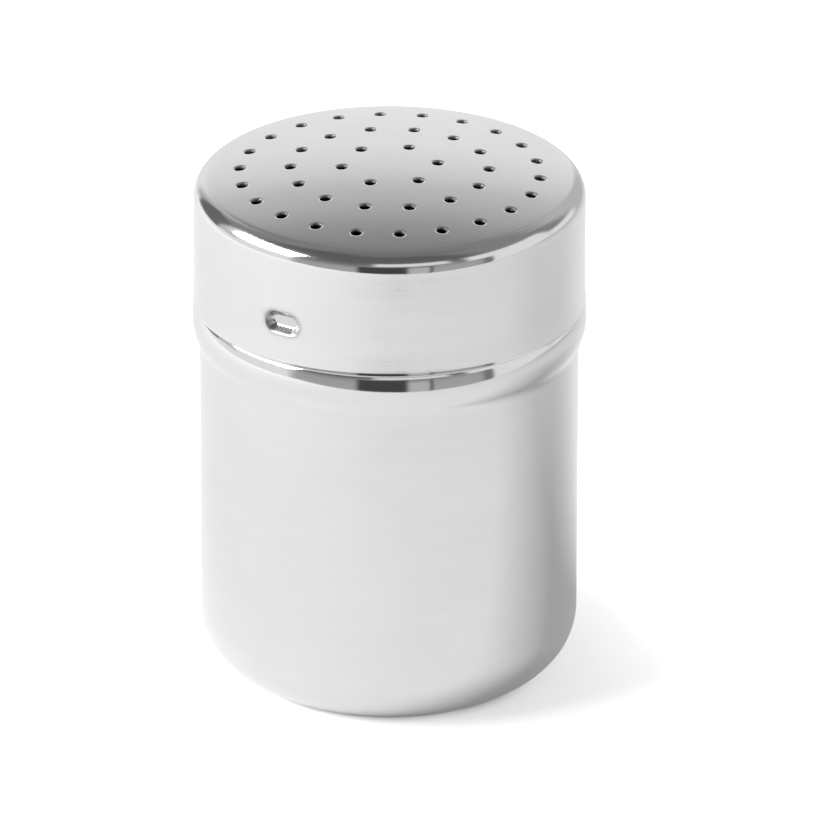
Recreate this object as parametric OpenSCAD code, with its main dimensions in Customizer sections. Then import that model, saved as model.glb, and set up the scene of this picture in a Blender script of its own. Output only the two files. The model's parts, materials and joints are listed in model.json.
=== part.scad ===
// Spice shaker: a deep-drawn steel cup and a perforated slip-on lid with a bayonet lock.
// Origin at the middle of the base, +Z up, the lid on and turned to its unlocked end.

/* [Sheet] */
// Thickness of the steel sheet that both pieces are drawn from
sheet = 0.5; // [0.4:0.05:0.7]

/* [Cup] */
// Outside diameter of the cup's straight wall and of its neck
cup_d = 68; // [64:1:80]
// Height of the bead's crest above the base
bead_h = 67.8; // [45:0.1:120]
// How far the bead's crest stands out from the wall
bead_out = 1.35; // [1:0.05:1.8]
// Radius of the bead's round
bead_r = 7.7; // [5:0.1:9]
// Radius of the tighter shoulder that ends the bead at its top
shoulder_r = 2.2; // [1.8:0.1:3]
// Slope of the bead, from upright, where its shoulder starts
shoulder_slope = 20.6; // [15:0.1:30]
// Radius of the hollow blend between the bead and the wall below it
wall_blend_r = 4; // [2:0.5:6]
// Radius of the hollow blend between the bead and the neck above it
neck_blend_r = 0.8; // [0.6:0.1:1.2]
// Height left between the neck's cut edge and the start of the lid's round corner
neck_gap = 4; // [1:0.5:6]
// Outside radius of the round corner at the base
base_round_r = 11; // [6:0.5:16]
// Width of the flat ring that the cup stands on
foot_w = 3; // [2:0.5:6]
// Height of the step that lifts the middle of the base off the table
base_step_h = 0.8; // [0.5:0.1:1.5]

/* [Lid] */
// Height of the lid from its rim to the top of its dome
lid_h = 25.7; // [24:0.1:35]
// Radial gap between the lid's skirt and the cup's neck
lid_fit = 0.5; // [0.3:0.05:0.7]
// Height of the lid's rim above the bead's crest
rim_above_bead = 3.5; // [3:0.1:4.5]
// Outside radius of the lid's top corner
lid_round_r = 3.5; // [2:0.5:5]
// Outside radius of the dome
dome_r = 200; // [150:10:400]
// Height of the flare at the foot of the skirt
flare_h = 3.8; // [2:0.1:4.5]
// Radius of the flare
flare_r = 22; // [15:1:40]

/* [Shaker holes] */
// Diameter of a hole
hole_d = 1.9; // [1.5:0.1:3]
// Distance from the outer ring of holes to the start of the lid's round corner
ring_margin = 4.7; // [3:0.1:6]
// Distance between two rings of holes
ring_pitch = 9.1; // [8:0.1:10]
// Holes in the inner ring
inner_holes = 6; // [4:1:8]
// Holes that each ring has more than the ring inside it
added_holes = 8; // [6:1:8]
// Turn of the first hole of each ring from +X, inner ring first
ring_turns = [6.5, -1.3, -4.3];

/* [Bayonet] */
// Number of dimples, each with its own slot
dimples = 2; // [2:1:4]
// Turn of the first dimple from +X
dimple_turn = 237.3; // [0:0.1:360]
// Height of a dimple's middle above the lid's rim
dimple_h = 7.7; // [7.3:0.1:9]
// Radius of a dimple's trough
dimple_r = 1.9; // [1.6:0.1:2.2]
// Length of a dimple between its two round ends
dimple_straight = 3.4; // [1:0.1:5]
// Depth of a dimple below the skirt's face
dimple_depth = 1.3; // [1.1:0.05:1.6]
// Clearance round a dimple in its slot
slot_fit = 0.3; // [0.2:0.05:0.6]
// Turn of the lid from its unlocked end to its locked end
lock_turn = 22; // [12:1:40]

/* [Hidden] */
$fn = 180;

// Length by which a cutter runs past the face that it opens
past = 1;

// The bead is a round about its crest and a tighter shoulder. Hollow arcs blend it into the wall below
// and the neck above, and all these arcs are named by their centres.
cup_r = cup_d / 2;
crest_r = cup_r + bead_out;
bead = [crest_r - bead_r, bead_h];
to_shoulder = [rounded(cos(shoulder_slope), 1000), rounded(sin(shoulder_slope), 1000)];
shoulder = bead + (bead_r - shoulder_r) * to_shoulder;
wall_blend_x = cup_r + wall_blend_r;
wall_blend = [wall_blend_x, bead.y - other_leg(bead_r + wall_blend_r, wall_blend_x - bead.x)];
neck_blend_x = cup_r + neck_blend_r;
neck_blend = [neck_blend_x, shoulder.y + other_leg(shoulder_r + neck_blend_r, neck_blend_x - shoulder.x)];
step_r = cup_r - base_round_r - foot_w;

// The lid slips over the neck, and its round corner touches the dome and the skirt
lid_r = cup_r + lid_fit + sheet;
rim_z = bead_h + rim_above_bead;
dome_z = rim_z + lid_h - dome_r;
corner_x = lid_r - lid_round_r;
corner_z = dome_z + other_leg(dome_r - lid_round_r, corner_x);
flare_z = rim_z + flare_h;
neck_z = corner_z - neck_gap;

// A dimple is pressed round a rod that lies across the skirt, and its back is a pin in the slot
dimple_z = rim_z + dimple_h;
dimple_x = lid_r - dimple_depth + dimple_r;
pin_r = dimple_r + sheet;
slot_end_r = rounded(other_leg(pin_r, dimple_x - cup_r) + slot_fit, 100);
slot_half_w = dimple_straight / 2 + slot_end_r;
slot_end_turn = asin(dimple_straight / 2 / cup_r);

// Length of a right triangle's second leg
function other_leg(long, leg) = sqrt(long * long - leg * leg);

// Value to the nearest of so many parts of one, as a drawing gives it
function rounded(value, parts) = round(value * parts) / parts;

// Half-section of what lies inside the cup's outer face after that face moves inwards by inset.
// Outward arcs lose inset from their radius, and hollow arcs gain it.
module cup_face(inset, top) {
    corner_shift = inset * tan(22.5);
    difference() {
        union() {
            translate([0, inset]) square([cup_r - base_round_r, base_round_r - inset]);
            translate([cup_r - base_round_r, base_round_r]) circle(base_round_r - inset);
            translate([0, base_round_r]) square([cup_r - inset, top - base_round_r]);
        }
        polygon([
            [0, -past],
            [step_r + corner_shift, -past],
            [step_r + corner_shift, inset],
            [step_r + corner_shift - base_step_h, inset + base_step_h],
            [0, inset + base_step_h]
        ]);
    }
    difference() {
        polygon([[0, wall_blend.y], wall_blend, bead, shoulder, neck_blend, [0, neck_blend.y]]);
        translate(wall_blend) circle(wall_blend_r + inset);
        translate(neck_blend) circle(neck_blend_r + inset);
    }
    intersection() {
        translate(bead) circle(bead_r - inset);
        polygon([bead, wall_blend, [wall_blend.x, bead.y], bead + 2 * bead_r * to_shoulder]);
    }
    translate(shoulder) circle(shoulder_r - inset);
}

// Half-section of what lies inside the lid's outer face after that face moves inwards by inset
module lid_face(inset, bottom) {
    translate([0, bottom]) square([lid_r - inset, corner_z - bottom]);
    translate([corner_x, corner_z]) circle(lid_round_r - inset);
    intersection() {
        translate([0, dome_z]) circle(dome_r - inset);
        polygon([[0, dome_z], [2 * corner_x, 2 * corner_z - dome_z], [0, 2 * corner_z - dome_z]]);
        translate([0, rim_z]) square([lid_r, lid_h]);
    }
    difference() {
        translate([0, bottom]) square([lid_r + flare_r, flare_z - bottom]);
        translate([lid_r + flare_r, flare_z]) circle(flare_r + inset);
    }
}

// Puts its children at the place of each dimple, with +X pointing out of the skirt
module at_dimples() {
    for (i = [0 : dimples - 1])
        rotate([0, 0, dimple_turn + 360 * i / dimples]) children();
}

// Round-ended rod that a dimple is pressed round
module rod(r) {
    translate([dimple_x, 0, dimple_z]) {
        rotate([90, 0, 0]) cylinder(r = r, h = dimple_straight, center = true);
        for (side = [-1, 1])
            translate([0, side * dimple_straight / 2, 0]) sphere(r);
    }
}

// Cutter for an L-shaped slot, punched through the neck along +X: a leg that is open at the neck's
// edge, and a run to the locked end
module slot() {
    locked_end = -cup_r * sin(lock_turn + slot_end_turn);
    unlocked_end = dimple_straight / 2;
    rotate([90, 0, 90]) linear_extrude(cup_r + past) translate([0, dimple_z]) {
        translate([-slot_half_w, 0]) square([2 * slot_half_w, neck_z - dimple_z + past]);
        translate([locked_end, -slot_end_r]) square([unlocked_end - locked_end, 2 * slot_end_r]);
        for (end = [locked_end, unlocked_end])
            translate([end, 0]) circle(slot_end_r);
    }
}

// Cutters for all the shaker holes, square to the dome, ring by ring from the inner one
module holes() {
    rings = len(ring_turns);
    for (ring = [0 : rings - 1]) {
        ring_r = corner_x - ring_margin - (rings - 1 - ring) * ring_pitch;
        count = inner_holes + ring * added_holes;
        for (i = [0 : count - 1])
            translate([0, 0, dome_z])
                rotate([0, asin(ring_r / dome_r), ring_turns[ring] + 360 * i / count])
                    translate([0, 0, dome_r - sheet - past])
                        cylinder(d = hole_d, h = sheet + 2 * past);
    }
}

// Deep-drawn cup with its rolled bead, and the two bayonet slots punched in its neck
module shaker_cup() {
    color([0.80, 0.80, 0.79]) difference() {
        rotate_extrude() difference() {
            cup_face(0, neck_z);
            cup_face(sheet, neck_z + past);
        }
        at_dimples() slot();
    }
}

// Deep-drawn lid: domed and perforated top, round corner, and a skirt with a flare and the dimples
module perforated_lid() {
    color([0.70, 0.70, 0.70]) difference() {
        union() {
            rotate_extrude() difference() {
                lid_face(0, rim_z);
                lid_face(sheet, rim_z - past);
            }
            intersection() {
                at_dimples() rod(pin_r);
                cylinder(r = lid_r - sheet / 2, h = corner_z);
            }
        }
        at_dimples() rod(dimple_r);
        holes();
    }
}

shaker_cup();
perforated_lid();
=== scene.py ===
import json
import math

import bpy
from mathutils import Matrix, Vector

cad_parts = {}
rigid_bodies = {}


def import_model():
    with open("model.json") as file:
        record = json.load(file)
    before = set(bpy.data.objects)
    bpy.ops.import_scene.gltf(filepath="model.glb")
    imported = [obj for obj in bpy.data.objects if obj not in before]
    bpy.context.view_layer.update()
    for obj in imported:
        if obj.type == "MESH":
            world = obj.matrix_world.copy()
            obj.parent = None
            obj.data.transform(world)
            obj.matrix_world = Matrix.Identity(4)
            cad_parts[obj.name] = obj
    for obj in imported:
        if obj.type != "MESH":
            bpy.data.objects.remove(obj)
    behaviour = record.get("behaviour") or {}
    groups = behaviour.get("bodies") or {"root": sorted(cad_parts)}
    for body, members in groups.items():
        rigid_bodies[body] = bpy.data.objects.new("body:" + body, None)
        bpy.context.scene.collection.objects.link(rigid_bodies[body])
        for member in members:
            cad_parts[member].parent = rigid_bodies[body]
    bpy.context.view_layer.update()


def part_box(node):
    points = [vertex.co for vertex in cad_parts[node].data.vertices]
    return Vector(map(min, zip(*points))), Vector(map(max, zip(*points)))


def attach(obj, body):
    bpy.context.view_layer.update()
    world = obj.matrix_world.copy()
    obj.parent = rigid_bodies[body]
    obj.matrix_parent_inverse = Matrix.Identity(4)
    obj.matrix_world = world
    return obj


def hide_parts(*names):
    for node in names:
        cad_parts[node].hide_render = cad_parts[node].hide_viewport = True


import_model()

# ---------------------------------------------------------------------------------------------------
# Camera: a long lens two metres away looks down at the shaker from 25 degrees, so that the dome shows
# as a wide ellipse and the walls stay almost parallel.
# ---------------------------------------------------------------------------------------------------
mm = 0.001
camera_distance = 2000 * mm
camera_elevation = math.radians(24.67)
camera_roll = math.radians(0.2)
camera_aim = Vector((4.64, 1.07, 47.32)) * mm
camera_away = Vector((0, -math.cos(camera_elevation), math.sin(camera_elevation)))

bpy.ops.object.select_all(action="DESELECT")
bpy.ops.object.camera_add(location=camera_aim + camera_away * camera_distance)
camera = bpy.context.object
camera.name = "camera"
camera.rotation_euler = (math.pi / 2 - camera_elevation, 0, 0)
camera.rotation_euler.rotate_axis("Z", camera_roll)
camera.data.sensor_width = 36
camera.data.lens = 482.2
camera.data.clip_end = 20
bpy.context.scene.camera = camera
bpy.context.scene.view_settings.view_transform = "Standard"

# ---------------------------------------------------------------------------------------------------
# Studio: a white table, lit mostly by a large softbox on its left. It ends a short way in front of the
# shaker and to its left, and the room beyond its front edge is dark up to a long bright window band.
# ---------------------------------------------------------------------------------------------------


def maths(tree, operation, *values):
    """Math node whose inputs are numbers or sockets."""
    node = tree.nodes.new("ShaderNodeMath")
    node.operation = operation
    for socket, value in zip(node.inputs, values):
        if isinstance(value, bpy.types.NodeSocket):
            tree.links.new(value, socket)
        else:
            socket.default_value = value
    return node.outputs[0]


def ramp(tree, value, stops):
    """Grey level that follows value between the stops, each a pair of a value and its level."""
    low, high = stops[0][0], stops[-1][0]
    node = tree.nodes.new("ShaderNodeValToRGB")
    points = node.color_ramp.elements
    while len(points) < len(stops):
        points.new(0.5)
    for point, (place, level) in zip(points, stops):
        point.position = (place - low) / (high - low)
        point.color = (level, level, level, 1)
    span = tree.nodes.new("ShaderNodeMapRange")
    span.inputs["From Min"].default_value = low
    span.inputs["From Max"].default_value = high
    tree.links.new(value, span.inputs["Value"])
    tree.links.new(span.outputs[0], node.inputs["Fac"])
    return node.outputs["Color"]


def mix(tree, factor, first, second):
    """Mix of two colours, each a socket or a colour."""
    node = tree.nodes.new("ShaderNodeMix")
    node.data_type = "RGBA"
    for name, value in (("Factor", factor), ("A", first), ("B", second)):
        socket = next(s for s in node.inputs if s.name == name and s.enabled)
        if isinstance(value, bpy.types.NodeSocket):
            tree.links.new(value, socket)
        else:
            socket.default_value = value
    return next(s for s in node.outputs if s.enabled)


def object_place(tree):
    """Object coordinates."""
    return tree.nodes.new("ShaderNodeTexCoord").outputs["Object"]


table_width = 3000 * mm
table_front = 270 * mm
table_left = 500 * mm
table_turn = math.radians(12)
table_white = (0.88, 0.88, 0.88, 1)

bpy.ops.object.select_all(action="DESELECT")
table_middle = Vector((table_width / 2 - table_left, table_width / 2 - table_front, 0))
table_place = Matrix.Rotation(table_turn, 3, "Z") @ table_middle
bpy.ops.mesh.primitive_plane_add(size=table_width, location=table_place, rotation=(0, 0, table_turn))
table = bpy.context.object
table.name = "table"
bpy.ops.object.transform_apply()

# The camera and the steel see the table whiter than it is, through a glow that grows with distance from
# the shaker. Its weak middle paints shade close round the shaker over the softbox's real shadow, and for
# the camera that painted shade reaches further out at the front right, away from the softbox.
painted_shade_stretch_start = 35 * mm
painted_shade_stretch = 0.2
table_paint = bpy.data.materials.new("table_paint")
table_paint.use_nodes = True
tree = table_paint.node_tree
tree.nodes.clear()
place = object_place(tree)
split = tree.nodes.new("ShaderNodeSeparateXYZ")
tree.links.new(place, split.inputs[0])
length = tree.nodes.new("ShaderNodeVectorMath")
length.operation = "LENGTH"
tree.links.new(place, length.inputs[0])
away = length.outputs["Value"]
front_right = maths(tree, "SUBTRACT", split.outputs[0], split.outputs[1])
painted_shade_side = maths(tree, "MAXIMUM", front_right, painted_shade_stretch_start)
painted_shade_length = maths(tree, "SUBTRACT", painted_shade_side, painted_shade_stretch_start)
painted_shade_distance = maths(tree, "MULTIPLY_ADD", painted_shade_length, -painted_shade_stretch, away)
# Painted shade for the camera: the glow is weak close round the shaker and stretched out at the front right
camera_lift = ramp(tree, painted_shade_distance, [
    (0, 0.03), (25.5 * mm, 0.05), (26.5 * mm, 0.32), (28 * mm, 0.48), (36 * mm, 0.56), (44 * mm, 0.66),
    (52 * mm, 0.84), (65 * mm, 1.00)])
# Painted shade in the steel's reflections: the glow that the steel sees fades close round the shaker
mirrored_lift = ramp(tree, away, [(0, 0), (22 * mm, 0.04), (42 * mm, 0.17)])
path = tree.nodes.new("ShaderNodeLightPath")
matt = tree.nodes.new("ShaderNodeBsdfDiffuse")
matt.inputs["Color"].default_value = table_white
lift = tree.nodes.new("ShaderNodeEmission")
seen = maths(tree, "MULTIPLY", path.outputs["Is Camera Ray"], camera_lift)
both_lifts = maths(tree, "MULTIPLY_ADD", path.outputs["Is Glossy Ray"], mirrored_lift, seen)
both = tree.nodes.new("ShaderNodeAddShader")
out = tree.nodes.new("ShaderNodeOutputMaterial")
tree.links.new(both_lifts, lift.inputs["Strength"])
tree.links.new(matt.outputs[0], both.inputs[0])
tree.links.new(lift.outputs[0], both.inputs[1])
tree.links.new(both.outputs[0], out.inputs["Surface"])
table.data.materials.append(table_paint)

# Softbox: it faces the shaker from its left. Azimuth 0 is the camera's side, and -90 is the left.
softbox_azimuth = math.radians(-79.5)
softbox_elevation = math.radians(27)
softbox_distance = 2000 * mm
softbox_width = 1500 * mm
softbox_height = 900 * mm
softbox_watts = 57
softbox_aim = Vector((0, 0, 50 * mm))
softbox_away = Vector((
    math.sin(softbox_azimuth) * math.cos(softbox_elevation),
    -math.cos(softbox_azimuth) * math.cos(softbox_elevation),
    math.sin(softbox_elevation)))

bpy.ops.object.select_all(action="DESELECT")
bpy.ops.object.light_add(type="AREA", location=softbox_aim + softbox_away * softbox_distance)
softbox = bpy.context.object
softbox.name = "left_softbox"
softbox.data.shape = "RECTANGLE"
softbox.data.size = softbox_width
softbox.data.size_y = softbox_height
softbox.data.energy = softbox_watts
softbox.rotation_euler = softbox_away.to_track_quat("Z", "Y").to_euler()

# Shader group that paints one panel of the room over what is under it. Its edges are in degrees, and
# Blur is how many degrees the change at an edge takes.
panel_group = bpy.data.node_groups.new("room_panel", "ShaderNodeTree")
for name in ("Under", "Azimuth", "Elevation", "Left", "Right", "Bottom", "Top", "Blur", "Level"):
    panel_group.interface.new_socket(name, in_out="INPUT", socket_type="NodeSocketFloat")
panel_group.interface.new_socket("Level", in_out="OUTPUT", socket_type="NodeSocketFloat")
given = panel_group.nodes.new("NodeGroupInput").outputs
inside = maths(panel_group, "MINIMUM",
    maths(panel_group, "MINIMUM",
        maths(panel_group, "SUBTRACT", given["Azimuth"], given["Left"]),
        maths(panel_group, "SUBTRACT", given["Right"], given["Azimuth"])),
    maths(panel_group, "MINIMUM",
        maths(panel_group, "SUBTRACT", given["Elevation"], given["Bottom"]),
        maths(panel_group, "SUBTRACT", given["Top"], given["Elevation"])))
share = panel_group.nodes.new("ShaderNodeMapRange")
share.interpolation_type = "SMOOTHSTEP"
panel_group.links.new(inside, share.inputs["Value"])
panel_group.links.new(maths(panel_group, "MULTIPLY", given["Blur"], -0.5), share.inputs["From Min"])
panel_group.links.new(maths(panel_group, "MULTIPLY", given["Blur"], 0.5), share.inputs["From Max"])
blend = panel_group.nodes.new("ShaderNodeMix")
panel_group.links.new(share.outputs[0], blend.inputs["Factor"])
panel_group.links.new(given["Under"], blend.inputs["A"])
panel_group.links.new(given["Level"], blend.inputs["B"])
panel_group.links.new(blend.outputs["Result"], panel_group.nodes.new("NodeGroupOutput").inputs["Level"])

# The room as seen from the shaker: elevation is from the horizon, and azimuth goes rightwards from
# the camera's side, once round from -40 degrees to 320. The camera itself sees it white.
azimuth_start = -40
azimuth_end = 320
world = bpy.data.worlds.new("room")
bpy.context.scene.world = world
world.use_nodes = True
tree = world.node_tree
tree.nodes.clear()
split = tree.nodes.new("ShaderNodeSeparateXYZ")
tree.links.new(tree.nodes.new("ShaderNodeTexCoord").outputs["Generated"], split.inputs[0])
east, north, up = split.outputs
elevation = maths(tree, "DEGREES", maths(tree, "ARCSINE", up))
azimuth = maths(tree, "DEGREES", maths(tree, "ARCTAN2", east, maths(tree, "MULTIPLY", north, -1.0)))
azimuth = maths(tree, "WRAP", azimuth, azimuth_end, azimuth_start)


def panel(under, left, right, bottom, top, blur, level):
    """Level of the room once a panel, given by its edges in degrees, stands before what is under it."""
    node = tree.nodes.new("ShaderNodeGroup")
    node.node_tree = panel_group
    values = (under, azimuth, elevation, left, right, bottom, top, blur, level)
    for socket, value in zip(node.inputs, values):
        if isinstance(value, bpy.types.NodeSocket):
            tree.links.new(value, socket)
        else:
            socket.default_value = value
    return node.outputs["Level"]


dim_front = ramp(tree, elevation, [
    (-10, 0.46), (8, 0.43), (17, 0.30), (27, 0.20), (37, 0.14), (72, 0.13), (82, 0.20), (90, 0.23)])
wall_behind = ramp(tree, elevation, [
    (-10, 1.00), (18, 0.94), (22.8, 0.86), (26.6, 0.75), (28.5, 0.66), (32, 0.57), (34, 0.51),
    (37, 0.40), (41.6, 0.285), (50, 0.25), (90, 0.23)])
# Panels from the furthest to the nearest: edges at the left, right, bottom and top in degrees, then
# the blur and the level
panels = [
    (60, 255, -90, 75, 30, 0.27),  # dim room from the right round the back to the left
    (128, 219, -90, 44, 22, 0.58),  # pale wall at the back
    (212, 300, -90, 3, 5, 1.00),  # white sheet beyond the table's left edge
    (250, 303, -90, 11, 9, 0.95),  # its raised end under the softbox
    (104, 134, -90, 14, 8, 0.95),  # low white board at the back right
    (60, 105, -90, 34, 6, 0.92),  # tall white board at the right
    (47, 64, 14, 34, 6, 0.92),  # its upper part, further to the front
    (55, 61, -90, 13, 3, 0.22),  # dark gap under that part
    (163, 208, -90, 75, 10, wall_behind),  # wall straight behind the shaker, darker upwards
    (217, 246, -1, 33, 4, 0.16),  # dark gap at the back left
    (246, 263, 2, 40, 5, 0.60),  # grey rim of the softbox
    (-9, 36, 20, 36, 6, 0.90),  # window band over the camera
    (10, 22.5, -90, 8, 3, 0.55),  # grey stretch under the window
    (23, 25, -90, 15, 1.5, 0.15),  # dark bar at that stretch's right
    (-18, 10.5, -90, 16, 4, 0.07),  # darkness round the camera
]
room = dim_front
for values in panels:
    room = panel(room, *values)

path = tree.nodes.new("ShaderNodeLightPath")
background = tree.nodes.new("ShaderNodeBackground")
tree.links.new(mix(tree, path.outputs["Is Camera Ray"], room, (1, 1, 1, 1)), background.inputs["Color"])
out = tree.nodes.new("ShaderNodeOutputWorld")
tree.links.new(background.outputs[0], out.inputs["Surface"])

# ---------------------------------------------------------------------------------------------------
# Cup: one disc of stainless steel, drawn deep, with a bead rolled outwards under its neck. Its wall
# has a satin finish, and handling has polished the bead. Two L-shaped slots are punched in the neck
# for the lid's dimples.
# ---------------------------------------------------------------------------------------------------
sheet = 0.5 * mm
cup_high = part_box("shaker_cup")[1]
cup_radius = 34.0 * mm
cup_top = cup_high.z
bead_height = 67.8 * mm
bead_radius = cup_high.x
bead_round = 7.7 * mm
shoulder_start = 20.6  # degrees round the bead from its crest
shoulder_round = 2.2 * mm
wall_blend = 4.0 * mm
neck_blend = 0.8 * mm
base_round = 11.0 * mm
foot_width = 3.0 * mm
foot_step = 0.8 * mm
step_round = 1.2 * mm
edge_round = 0.12 * mm
spin_steps = 240


def arc(centre, radius, start, end, step=4.0):
    """Points of an arc in the half-section, at angles in degrees from the outward direction."""
    count = max(2, math.ceil(abs(end - start) / step))
    angles = [math.radians(start + (end - start) * i / count) for i in range(count + 1)]
    return [(centre[0] + radius * math.cos(a), centre[1] + radius * math.sin(a)) for a in angles]


def line(start, end, step=2.5 * mm):
    """Points inside a straight stretch of the half-section, without its two ends."""
    count = math.ceil(math.dist(start, end) / step)
    return [tuple(a + (b - a) * i / count for a, b in zip(start, end)) for i in range(1, count)]


def draw_outline(name, points):
    """Starts a mesh with one vertex at the first point and extrudes it from point to point."""
    bpy.ops.object.select_all(action="DESELECT")
    bpy.ops.mesh.primitive_plane_add(size=1 * mm)
    piece = bpy.context.object
    piece.name = piece.data.name = name
    bpy.ops.object.mode_set(mode="EDIT")
    bpy.ops.mesh.select_mode(type="VERT")
    bpy.ops.mesh.merge(type="CENTER")
    bpy.ops.transform.translate(value=points[0])
    for last, point in zip(points, points[1:]):
        move = {"value": [b - a for a, b in zip(last, point)]}
        bpy.ops.mesh.extrude_vertices_move(TRANSFORM_OT_translate=move)
    bpy.ops.mesh.select_all(action="SELECT")
    return piece


def spin_section(name, points):
    """Spins a half-section, listed as (radius, height) from axis to axis, into a closed shell."""
    piece = draw_outline(name, [(radius, 0, height) for radius, height in points])
    bpy.ops.mesh.spin(steps=spin_steps, angle=2 * math.pi, center=(0, 0, 0), axis=(0, 0, 1))
    bpy.ops.mesh.select_all(action="SELECT")
    bpy.ops.mesh.remove_doubles(threshold=0.004 * mm)
    bpy.ops.mesh.normals_make_consistent(inside=False)
    bpy.ops.object.mode_set(mode="OBJECT")
    return piece


def blend_angle(centre, other):
    """Direction in degrees from one arc's centre to the centre of the arc that it meets smoothly."""
    return math.degrees(math.atan2(other[1] - centre[1], other[0] - centre[0]))


def cup_face(inset):
    """The cup's outer face from the axis to the neck's edge, moved into the metal by inset."""
    bead = (bead_radius - bead_round, bead_height)
    turn = math.radians(shoulder_start)
    shift = bead_round - shoulder_round
    shoulder = (bead[0] + shift * math.cos(turn), bead[1] + shift * math.sin(turn))
    wall_x = cup_radius + wall_blend
    wall_drop = math.sqrt((bead_round + wall_blend) ** 2 - (wall_x - bead[0]) ** 2)
    wall = (wall_x, bead[1] - wall_drop)
    neck_x = cup_radius + neck_blend
    neck_rise = math.sqrt((shoulder_round + neck_blend) ** 2 - (neck_x - shoulder[0]) ** 2)
    neck = (neck_x, shoulder[1] + neck_rise)
    inner_foot = cup_radius - base_round - foot_width
    step_angle = math.degrees(math.acos(1 - foot_step / 2 / step_round))
    step_half = step_round * math.sin(math.radians(step_angle))
    step_start = inner_foot - 2 * step_half
    face = cup_radius - inset
    points = [(0, foot_step + inset)]
    points += line(points[0], (step_start, foot_step + inset))
    points += arc((step_start, foot_step - step_round), step_round + inset, 90, 90 - step_angle, 8)
    points += arc((inner_foot, step_round), step_round - inset, 270 - step_angle, 270, 8)
    points += line((inner_foot, inset), (cup_radius - base_round, inset), 1 * mm)
    points += arc((cup_radius - base_round, base_round), base_round - inset, -90, 0)
    points += line((face, base_round), (face, wall[1]))
    low, high = blend_angle(bead, wall), blend_angle(shoulder, neck)
    points += arc(wall, wall_blend + inset, 180, low + 180)
    points += arc(bead, bead_round - inset, low, shoulder_start, 3)
    points += arc(shoulder, shoulder_round - inset, shoulder_start, high)[1:]
    points += arc(neck, neck_blend + inset, high + 180, 180, 8)[1:]
    points += line((face, neck[1]), (face, cup_top - edge_round))
    return points


def cut_edge(outer, inner, height, side):
    """Softly rounded cut edge of the sheet, from the outer face to the inner one. Side is 1 upwards."""
    level = height - side * edge_round
    points = arc((outer - edge_round, level), edge_round, 0, side * 90, 30)
    return points + arc((inner + edge_round, level), edge_round, side * 90, side * 180, 30)


cup_section = cup_face(0) + cut_edge(cup_radius, cup_radius - sheet, cup_top, 1) + cup_face(sheet)[::-1]
cup = spin_section("cup_shell", cup_section)

# Slots: each has a leg, open at the neck's edge, and a run to the locked end, for the dimple's back
dimple_turns = [math.radians(237.3), math.radians(57.3)]  # from +X
dimple_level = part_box("perforated_lid")[0].z + 7.7 * mm
slot_straight = 3.4 * mm
slot_end_round = 2.09 * mm
slot_lock = math.radians(22)
slot_half = slot_straight / 2 + slot_end_round
slot_locked = -cup_radius * math.sin(slot_lock + math.asin(slot_straight / 2 / cup_radius))
slot_inner = cup_radius - 8 * mm
slot_through = 10 * mm


def cut_away(piece, cutter):
    """Cuts the cutter's shape out of the piece and removes the cutter."""
    bpy.ops.object.select_all(action="DESELECT")
    piece.select_set(True)
    bpy.context.view_layer.objects.active = piece
    bpy.ops.object.modifier_add(type="BOOLEAN")
    modifier = piece.modifiers[-1]
    modifier.operation = "DIFFERENCE"
    modifier.solver = "EXACT"
    modifier.object = cutter
    bpy.ops.object.modifier_apply(modifier=modifier.name)
    bpy.data.objects.remove(cutter)


for turn in dimple_turns:
    outline = [(slot_half, cup_top + sheet)]
    outline += arc((slot_straight / 2, dimple_level), slot_end_round, 0, -90, 10)
    outline += arc((slot_locked, dimple_level), slot_end_round, -90, -270, 10)
    outline += [(-slot_half, dimple_level + slot_end_round), (-slot_half, cup_top + sheet)]
    slot_punch = draw_outline("slot_punch", [(slot_inner, across, height) for across, height in outline])
    bpy.ops.mesh.edge_face_add()
    bpy.ops.mesh.extrude_region_move(TRANSFORM_OT_translate={"value": (slot_through, 0, 0)})
    bpy.ops.mesh.select_all(action="SELECT")
    bpy.ops.mesh.normals_make_consistent(inside=False)
    bpy.ops.object.mode_set(mode="OBJECT")
    slot_punch.data.transform(Matrix.Rotation(turn, 4, "Z"))
    cut_away(cup, slot_punch)

# Shader group for the fine lines that spin polishing leaves round a pressing. They follow height on a
# wall and radius on a flat. Lean is 1 where the two grow together along the face, and -1 where one
# grows as the other falls. Around and Across are how often the noise repeats both ways.
axis_clearance = 0.01 * mm
spin_lines = bpy.data.node_groups.new("spin_lines", "ShaderNodeTree")
spin_lines.interface.new_socket("Vector", in_out="INPUT", socket_type="NodeSocketVector")
for name in ("Lean", "Around", "Across"):
    spin_lines.interface.new_socket(name, in_out="INPUT", socket_type="NodeSocketFloat")
spin_lines.interface.new_socket("Level", in_out="OUTPUT", socket_type="NodeSocketFloat")
given = spin_lines.nodes.new("NodeGroupInput").outputs
split = spin_lines.nodes.new("ShaderNodeSeparateXYZ")
spin_lines.links.new(given["Vector"], split.inputs[0])
x, y, z = split.outputs
squares = maths(spin_lines, "MULTIPLY_ADD", x, x, maths(spin_lines, "MULTIPLY", y, y))
radius = maths(spin_lines, "SQRT", squares)
reach = maths(spin_lines, "MAXIMUM", radius, axis_clearance)
height = maths(spin_lines, "MULTIPLY_ADD", radius, given["Lean"], z)
joined = spin_lines.nodes.new("ShaderNodeCombineXYZ")
for side, socket in zip((x, y), joined.inputs):
    share = maths(spin_lines, "DIVIDE", side, reach)
    spin_lines.links.new(maths(spin_lines, "MULTIPLY", share, given["Around"]), socket)
spin_lines.links.new(maths(spin_lines, "MULTIPLY", height, given["Across"]), joined.inputs[2])
grain = spin_lines.nodes.new("ShaderNodeTexNoise")
grain.inputs["Scale"].default_value = 1
grain.inputs["Detail"].default_value = 4
grain.inputs["Roughness"].default_value = 0.6
spin_lines.links.new(joined.outputs[0], grain.inputs["Vector"])
spin_lines.links.new(grain.outputs["Fac"], spin_lines.nodes.new("NodeGroupOutput").inputs["Level"])

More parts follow.
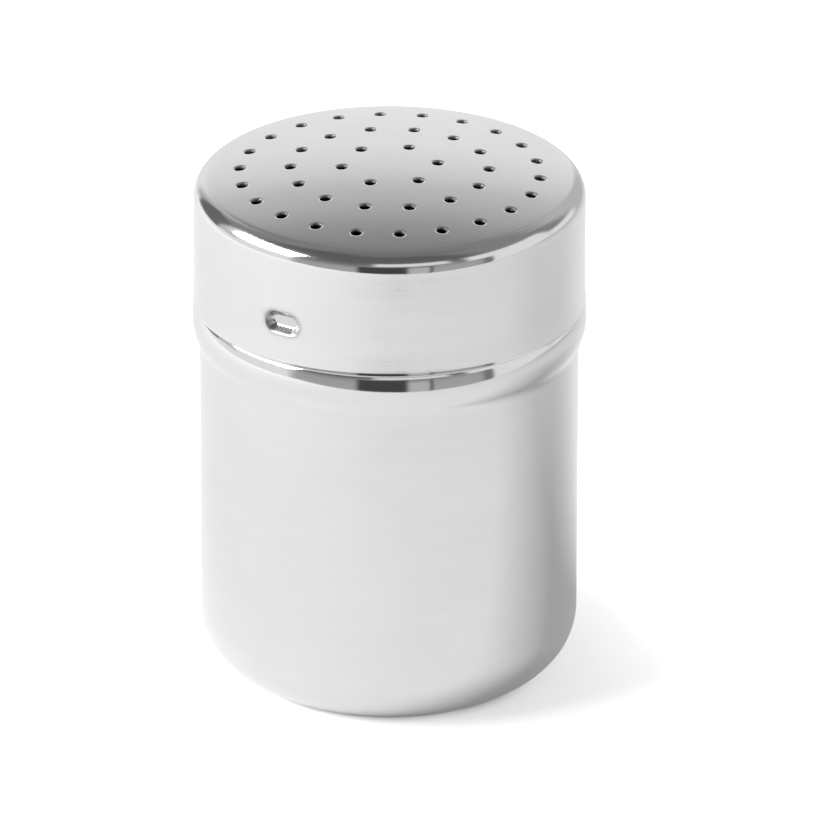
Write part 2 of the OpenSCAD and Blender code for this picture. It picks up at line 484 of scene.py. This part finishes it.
# Shader group for handling: fine broken scratches where Scratch is 1, and soft uneven smudges. The
# scratches are the borders of Voronoi cells, bent by one noise and broken by another.
scratch_bend = 0.7 * mm
scratch_edge, scratch_middle = 0.020, 0.004  # distance to a border, in cells
scratch_fades, scratch_full = 0.58, 0.68  # levels of the noise that breaks them
handling = bpy.data.node_groups.new("handling", "ShaderNodeTree")
handling.interface.new_socket("Vector", in_out="INPUT", socket_type="NodeSocketVector")
for name in ("Scratch Size", "Smudge Size"):
    handling.interface.new_socket(name, in_out="INPUT", socket_type="NodeSocketFloat")
for name in ("Scratch", "Smudge"):
    handling.interface.new_socket(name, in_out="OUTPUT", socket_type="NodeSocketFloat")
given = handling.nodes.new("NodeGroupInput").outputs
scratch_scale = maths(handling, "DIVIDE", 1.0, given["Scratch Size"])
smudge = handling.nodes.new("ShaderNodeTexNoise")
smudge.inputs["Detail"].default_value = 3
smudge.inputs["Distortion"].default_value = 0.6
handling.links.new(given["Vector"], smudge.inputs["Vector"])
handling.links.new(maths(handling, "DIVIDE", 1.0, given["Smudge Size"]), smudge.inputs["Scale"])
bend = handling.nodes.new("ShaderNodeTexNoise")
handling.links.new(given["Vector"], bend.inputs["Vector"])
handling.links.new(maths(handling, "MULTIPLY", scratch_scale, 0.5), bend.inputs["Scale"])
bent = handling.nodes.new("ShaderNodeVectorMath")
bent.operation = "MULTIPLY_ADD"
handling.links.new(bend.outputs["Color"], bent.inputs[0])
bent.inputs[1].default_value = (scratch_bend, scratch_bend, scratch_bend)
handling.links.new(given["Vector"], bent.inputs[2])
cracks = handling.nodes.new("ShaderNodeTexVoronoi")
cracks.feature = "DISTANCE_TO_EDGE"
handling.links.new(bent.outputs[0], cracks.inputs["Vector"])
handling.links.new(scratch_scale, cracks.inputs["Scale"])
thin = handling.nodes.new("ShaderNodeMapRange")
thin.inputs["From Min"].default_value = scratch_edge
thin.inputs["From Max"].default_value = scratch_middle
handling.links.new(cracks.outputs["Distance"], thin.inputs["Value"])
broken = handling.nodes.new("ShaderNodeTexNoise")
handling.links.new(given["Vector"], broken.inputs["Vector"])
handling.links.new(maths(handling, "MULTIPLY", scratch_scale, 0.7), broken.inputs["Scale"])
kept = handling.nodes.new("ShaderNodeMapRange")
kept.inputs["From Min"].default_value = scratch_fades
kept.inputs["From Max"].default_value = scratch_full
handling.links.new(broken.outputs["Fac"], kept.inputs["Value"])
out = handling.nodes.new("NodeGroupOutput")
handling.links.new(maths(handling, "MULTIPLY", thin.outputs[0], kept.outputs[0]), out.inputs["Scratch"])
handling.links.new(smudge.outputs["Fac"], out.inputs["Smudge"])


def group(tree, node_group, vector, *values):
    """Outputs of a shader group placed in a material, with its vector and its other inputs."""
    node = tree.nodes.new("ShaderNodeGroup")
    node.node_tree = node_group
    tree.links.new(vector, node.inputs[0])
    for socket, value in zip(node.inputs[1:], values):
        socket.default_value = value
    return node.outputs


# How the lines, bands, smudges and scratches show in the steel's colour, roughness and bump
line_around, line_across = 2.5, 2600
band_around, band_across = 1.2, 420
scratch_size = 3.2 * mm
smudge_size = 14 * mm
line_share, band_share = 0.5, 0.8
tone_share = 0.45
least_rough, uneven_rough = 0.75, 0.5
wear_rough, wear_depth = 0.25, 0.4
smudge_height = 0.8
# Grey and extra roughness of the painted shade round the lid's dimples
dimple_shade_roughening, dimple_shade_grey = 0.18, 0.36


def grey(level):
    """Neutral colour of one level."""
    return (level, level, level, 1)


def steel(name, lean, finish, bright, dull, scratch_wear, line_depth):
    """Stainless steel whose roughness follows height by the stops of finish. Spin lines, smudges and
    scratches vary its colour and roughness, and the lines are as deep as line_depth where it is rough.
    A point attribute, where a piece has it, is 1 where a darker grey is painted round a dimple as shade, and
    where the steel is made rougher."""
    material = bpy.data.materials.new(name)
    material.use_nodes = True
    tree = material.node_tree
    shader = tree.nodes["Principled BSDF"]
    shader.inputs["Metallic"].default_value = 1
    shader.inputs["Anisotropic"].default_value = 0.3
    shader.inputs["Anisotropic Rotation"].default_value = 0.25
    place = object_place(tree)
    split = tree.nodes.new("ShaderNodeSeparateXYZ")
    tree.links.new(place, split.inputs[0])
    lines = group(tree, spin_lines, place, lean, line_around, line_across)["Level"]
    bands = group(tree, spin_lines, place, lean, band_around, band_across)["Level"]
    marks = group(tree, handling, place, scratch_size, smudge_size)
    dimple_shade = tree.nodes.new("ShaderNodeAttribute")
    dimple_shade.attribute_name = "dimple_shade"
    wear = maths(tree, "MULTIPLY", marks["Scratch"], scratch_wear)
    uneven = maths(tree, "MULTIPLY_ADD", maths(tree, "SUBTRACT", lines, 0.5), line_share, marks["Smudge"])
    uneven = maths(tree, "MULTIPLY_ADD", maths(tree, "SUBTRACT", bands, 0.5), band_share, uneven)

    tone = maths(tree, "ADD", maths(tree, "MULTIPLY", uneven, tone_share), wear)
    colour = mix(tree, tone, grey(bright), grey(dull))
    # Painted shade: a darker grey round the dimples, where the point attribute is 1
    colour = mix(tree, dimple_shade.outputs["Fac"], colour, grey(dimple_shade_grey))
    tree.links.new(colour, shader.inputs["Base Color"])

    varied = maths(tree, "MULTIPLY_ADD", uneven, uneven_rough, least_rough)
    rough = maths(tree, "MULTIPLY", ramp(tree, split.outputs[2], finish), varied)
    rough = maths(tree, "MULTIPLY_ADD", wear, wear_rough, rough)
    rough = maths(tree, "MULTIPLY_ADD", dimple_shade.outputs["Fac"], dimple_shade_roughening, rough)
    tree.links.new(rough, shader.inputs["Roughness"])

    relief = maths(tree, "MULTIPLY_ADD", marks["Smudge"], smudge_height, lines)
    height = maths(tree, "MULTIPLY", rough, relief)
    height = maths(tree, "MULTIPLY_ADD", wear, -wear_depth, height)
    bump = tree.nodes.new("ShaderNodeBump")
    bump.inputs["Strength"].default_value = 1
    bump.inputs["Distance"].default_value = line_depth
    tree.links.new(height, bump.inputs["Height"])
    tree.links.new(bump.outputs[0], shader.inputs["Normal"])
    return material


def finish_steel(piece, middle, outside, inside, smooth_angle):
    """Shades a pressing smooth up to smooth_angle, and gives the faces that look at the axis at the
    height middle the inside finish."""
    piece.data.materials.clear()
    piece.data.materials.append(outside)
    piece.data.materials.append(inside)
    for face in piece.data.polygons:
        outward = face.center - Vector((0, 0, middle))
        face.material_index = 1 if face.normal.dot(outward) < 0 else 0
    bpy.ops.object.select_all(action="DESELECT")
    piece.select_set(True)
    bpy.context.view_layer.objects.active = piece
    bpy.ops.object.shade_smooth_by_angle(angle=math.radians(smooth_angle))


# Roughness: brushed wall, bead polished by handling, and the drawn sheet inside
satin, polish, drawn = 0.14, 0.08, 0.36
satin_stops = [
    (0, satin), (65.5 * mm, satin), (67.2 * mm, polish), (72 * mm, polish), (73 * mm, satin),
    (90 * mm, satin)]
drawn_stops = [(0, drawn), (100 * mm, drawn)]
satin_steel = steel(
    "satin_steel", 1, satin_stops, bright=0.755, dull=0.66, scratch_wear=0.10, line_depth=0.02 * mm)
drawn_steel = steel(
    "drawn_steel", 1, drawn_stops, bright=0.68, dull=0.52, scratch_wear=0.3, line_depth=0.03 * mm)
finish_steel(cup, middle=40 * mm, outside=satin_steel, inside=drawn_steel, smooth_angle=20)
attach(cup, "cup")
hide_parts("shaker_cup")

# ---------------------------------------------------------------------------------------------------
# Lid: a shallow drawn dome of polished steel with punched holes, a tight round corner and a satin
# skirt whose foot turns out a little. Two dimples pressed through the skirt hold it to the cup.
# ---------------------------------------------------------------------------------------------------
lid_low, lid_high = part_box("perforated_lid")
lid_radius = 35.0 * mm
lid_round = 3.5 * mm
dome_radius = 200.0 * mm
rim = lid_low.z
crown = lid_high.z
flare_height = 4.0 * mm
flare_slope = math.radians(2.5)
curl_height = 0.65 * mm
curl_radius = 1.7 * mm
skirt_step = 0.6 * mm
dome_step = 0.5  # degrees
dome_centre = (0, crown - dome_radius)
corner_x = lid_radius - lid_round
corner = (corner_x, dome_centre[1] + math.sqrt((dome_radius - lid_round) ** 2 - corner_x ** 2))
dome_edge = blend_angle(dome_centre, corner)


def lid_face(inset):
    """The lid's outer face from the crown to the rim, moved into the metal by inset."""
    face = lid_radius - inset
    foot = face + (flare_height - curl_height) * math.tan(flare_slope)
    curl_x = foot + curl_radius * math.cos(flare_slope)
    curl_z = rim + curl_height + curl_radius * math.sin(flare_slope)
    curl_end = math.degrees(math.asin((curl_z - rim - edge_round) / curl_radius))
    points = arc(dome_centre, dome_radius - inset, 90, dome_edge, dome_step)
    points += arc(corner, lid_round - inset, dome_edge, 0)[1:]
    points += line((face, corner[1]), (face, rim + flare_height), skirt_step)
    points += line((face, rim + flare_height), (foot, rim + curl_height), skirt_step)
    points += arc((curl_x, curl_z), curl_radius, 180 + math.degrees(flare_slope), 180 + curl_end)
    return points


lid_outer, lid_inner = lid_face(0), lid_face(sheet)
lid_section = lid_outer + cut_edge(lid_outer[-1][0], lid_inner[-1][0], rim, -1) + lid_inner[::-1]
lid = spin_section("lid_shell", lid_section)

# Shaker holes: each is punched square to the dome, and the punch draws its lip down
hole_radius = 1.0 * mm
lip_width = 0.5 * mm
lip_depth = 0.17 * mm
hole_sides = 32
punch_past = 0.4 * mm
rings = [(8.6 * mm, 6, 6.5), (17.7 * mm, 14, -1.3), (26.8 * mm, 22, -4.3)]  # radius, holes, first turn

bpy.ops.object.select_all(action="DESELECT")
punch_length = sheet + punch_past - lip_depth
bpy.ops.mesh.primitive_cylinder_add(vertices=hole_sides, radius=hole_radius, depth=punch_length)
punch = bpy.context.object
bpy.ops.object.mode_set(mode="EDIT")
bpy.ops.transform.translate(value=(0, 0, -lip_depth - punch_length / 2))
bpy.ops.mesh.select_mode(type="FACE")
bpy.ops.mesh.select_all(action="DESELECT")
bpy.ops.object.mode_set(mode="OBJECT")
for face in punch.data.polygons:
    face.select = face.normal.z > 0.5
bpy.ops.object.mode_set(mode="EDIT")
last_radius, last_level = hole_radius, 0
for angle in (15, 30, 45, 60, 75, 85):
    turn = math.radians(angle)
    radius, level = hole_radius + lip_width * (1 - math.cos(turn)), lip_depth * math.sin(turn)
    move = {"value": (0, 0, level - last_level)}
    bpy.ops.mesh.extrude_region_move(TRANSFORM_OT_translate=move)
    bpy.ops.transform.resize(value=(radius / last_radius, radius / last_radius, 1))
    last_radius, last_level = radius, level
bpy.ops.mesh.extrude_region_move(TRANSFORM_OT_translate={"value": (0, 0, punch_past)})
bpy.ops.object.mode_set(mode="OBJECT")
for ring_radius, count, first in rings:
    lean = Matrix.Rotation(math.asin(ring_radius / dome_radius), 4, "Y")
    to_crown = Matrix.Translation((0, 0, dome_radius))
    for i in range(count):
        turn = Matrix.Rotation(math.radians(first + 360 * i / count), 4, "Z")
        bpy.ops.object.duplicate(linked=True)
        bpy.context.object.matrix_world = Matrix.Translation((0, 0, dome_centre[1])) @ turn @ lean @ to_crown
        bpy.context.object.name = "hole_punch"
bpy.data.objects.remove(punch)
for item in bpy.data.objects:
    if item.name.startswith("hole_punch"):
        item.select_set(True)
        bpy.context.view_layer.objects.active = item
bpy.ops.object.make_single_user(object=True, obdata=True)
bpy.ops.object.join()
cut_away(lid, bpy.context.object)

# Dimples: the skirt round each is divided more finely, and a blunt oval punch then presses both faces
# in. Distances are from the straight middle line of the dimple, which is twice dimple_half long.
dimple_depth = 1.3 * mm
dimple_half = 1.5 * mm
dimple_floor = 0.80 * mm
dimple_reach = 2.25 * mm
dimple_bow = 0.12 * mm
# Painted shade round each dimple: strongest along its lip, and weaker on its floor
dimple_shade_middle = 1.85 * mm
dimple_shade_spread = 0.60 * mm
floor_shade_share = 0.30
divided_reach = dimple_reach + 0.6 * mm
rounded_reach = dimple_reach + 1.2 * mm
smooth_reach = dimple_reach + 0.2 * mm


def from_dimple(point):
    """Distance along the skirt from the middle line of the nearest dimple."""
    distances = []
    for turn in dimple_turns:
        along = math.remainder(math.atan2(point.y, point.x) - turn, 2 * math.pi) * lid_radius
        distances.append(math.hypot(max(0, abs(along) - dimple_half), point.z - dimple_level))
    return min(distances)


def dimple_press(distance):
    """Depth of a dimple: a slightly bowed floor, and round flanks from its edge to its reach."""
    if distance > dimple_reach:
        return 0
    share = min(1, (dimple_reach - distance) / (dimple_reach - dimple_floor))
    bow = dimple_bow * (1 - (distance / dimple_reach) ** 2)
    return (dimple_depth - dimple_bow) * share ** 2 * (3 - 2 * share) + bow


def dimple_shade_share(distance):
    """Share of the painted shade round a dimple: most on the dimple's lip, and less on its floor."""
    lip = math.exp(-((distance - dimple_shade_middle) / dimple_shade_spread) ** 2)
    return max(lip, floor_shade_share if distance < dimple_shade_middle else 0)


bpy.ops.object.mode_set(mode="EDIT")
bpy.ops.mesh.select_mode(type="FACE")
bpy.ops.mesh.select_all(action="DESELECT")
bpy.ops.object.mode_set(mode="OBJECT")
for face in lid.data.polygons:
    face.select = from_dimple(face.center) < divided_reach
bpy.ops.object.mode_set(mode="EDIT")
bpy.ops.mesh.subdivide(number_cuts=7)
bpy.ops.object.mode_set(mode="OBJECT")
for vertex in lid.data.vertices:
    distance = from_dimple(vertex.co)
    if distance < rounded_reach:
        flat = vertex.co.xy
        face = lid_radius if flat.length > lid_radius - sheet / 2 else lid_radius - sheet
        vertex.co.xy = flat.normalized() * (face - dimple_press(distance))
# Painted shade round the dimples, kept in a point attribute for the steel's colour and roughness
dimple_shade = lid.data.attributes.new("dimple_shade", "FLOAT", "POINT")
for vertex in lid.data.vertices:
    dimple_shade.data[vertex.index].value = dimple_shade_share(from_dimple(vertex.co))

# Roughness: polished dome, round corner rubbed along its upper part, satin skirt and bright rim
rubbed, torn = 0.13, 0.50
polished_stops = [
    (70 * mm, polish), (71.6 * mm, polish), (72 * mm, satin), (89.5 * mm, satin), (91 * mm, polish),
    (92.1 * mm, polish), (92.8 * mm, rubbed), (93.4 * mm, rubbed), (94.4 * mm, polish),
    (100 * mm, polish)]
torn_stops = [(0, torn), (100 * mm, torn)]
polished_steel = steel(
    "polished_steel", -1, polished_stops, bright=0.755, dull=0.66, scratch_wear=0.25, line_depth=0.02 * mm)
drawn_lid_steel = steel(
    "drawn_lid_steel", -1, drawn_stops, bright=0.68, dull=0.52, scratch_wear=0.3, line_depth=0.03 * mm)
punched_steel = steel(
    "punched_steel", -1, torn_stops, bright=0.42, dull=0.30, scratch_wear=0.3, line_depth=0.03 * mm)
finish_steel(lid, middle=75 * mm, outside=polished_steel, inside=drawn_lid_steel, smooth_angle=11)

# The punched walls of the holes are dull. The dome meets each rolled lip in an edge, and the skirt
# runs smoothly into the dimples.
dome_lean = math.radians(2)
wall_lean = math.radians(60)
lid.data.materials.append(punched_steel)
parts_of_edge = {}
for face in lid.data.polygons:
    part = "skirt"
    if face.center.xy.length < corner_x:
        square = (face.center - Vector((0, 0, dome_centre[1]))).normalized()
        facing = abs(face.normal.dot(square))
        part = "dome" if facing > math.cos(dome_lean) else "hole"
        if facing < math.cos(wall_lean):
            face.material_index = 2
    for edge in face.edge_keys:
        parts_of_edge.setdefault(edge, set()).add(part)
for edge in lid.data.edges:
    if "hole" in parts_of_edge[edge.key] and "dome" in parts_of_edge[edge.key]:
        edge.use_edge_sharp = True
    elif from_dimple(lid.data.vertices[edge.vertices[0]].co) < smooth_reach:
        edge.use_edge_sharp = False
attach(lid, "lid")
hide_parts("perforated_lid")
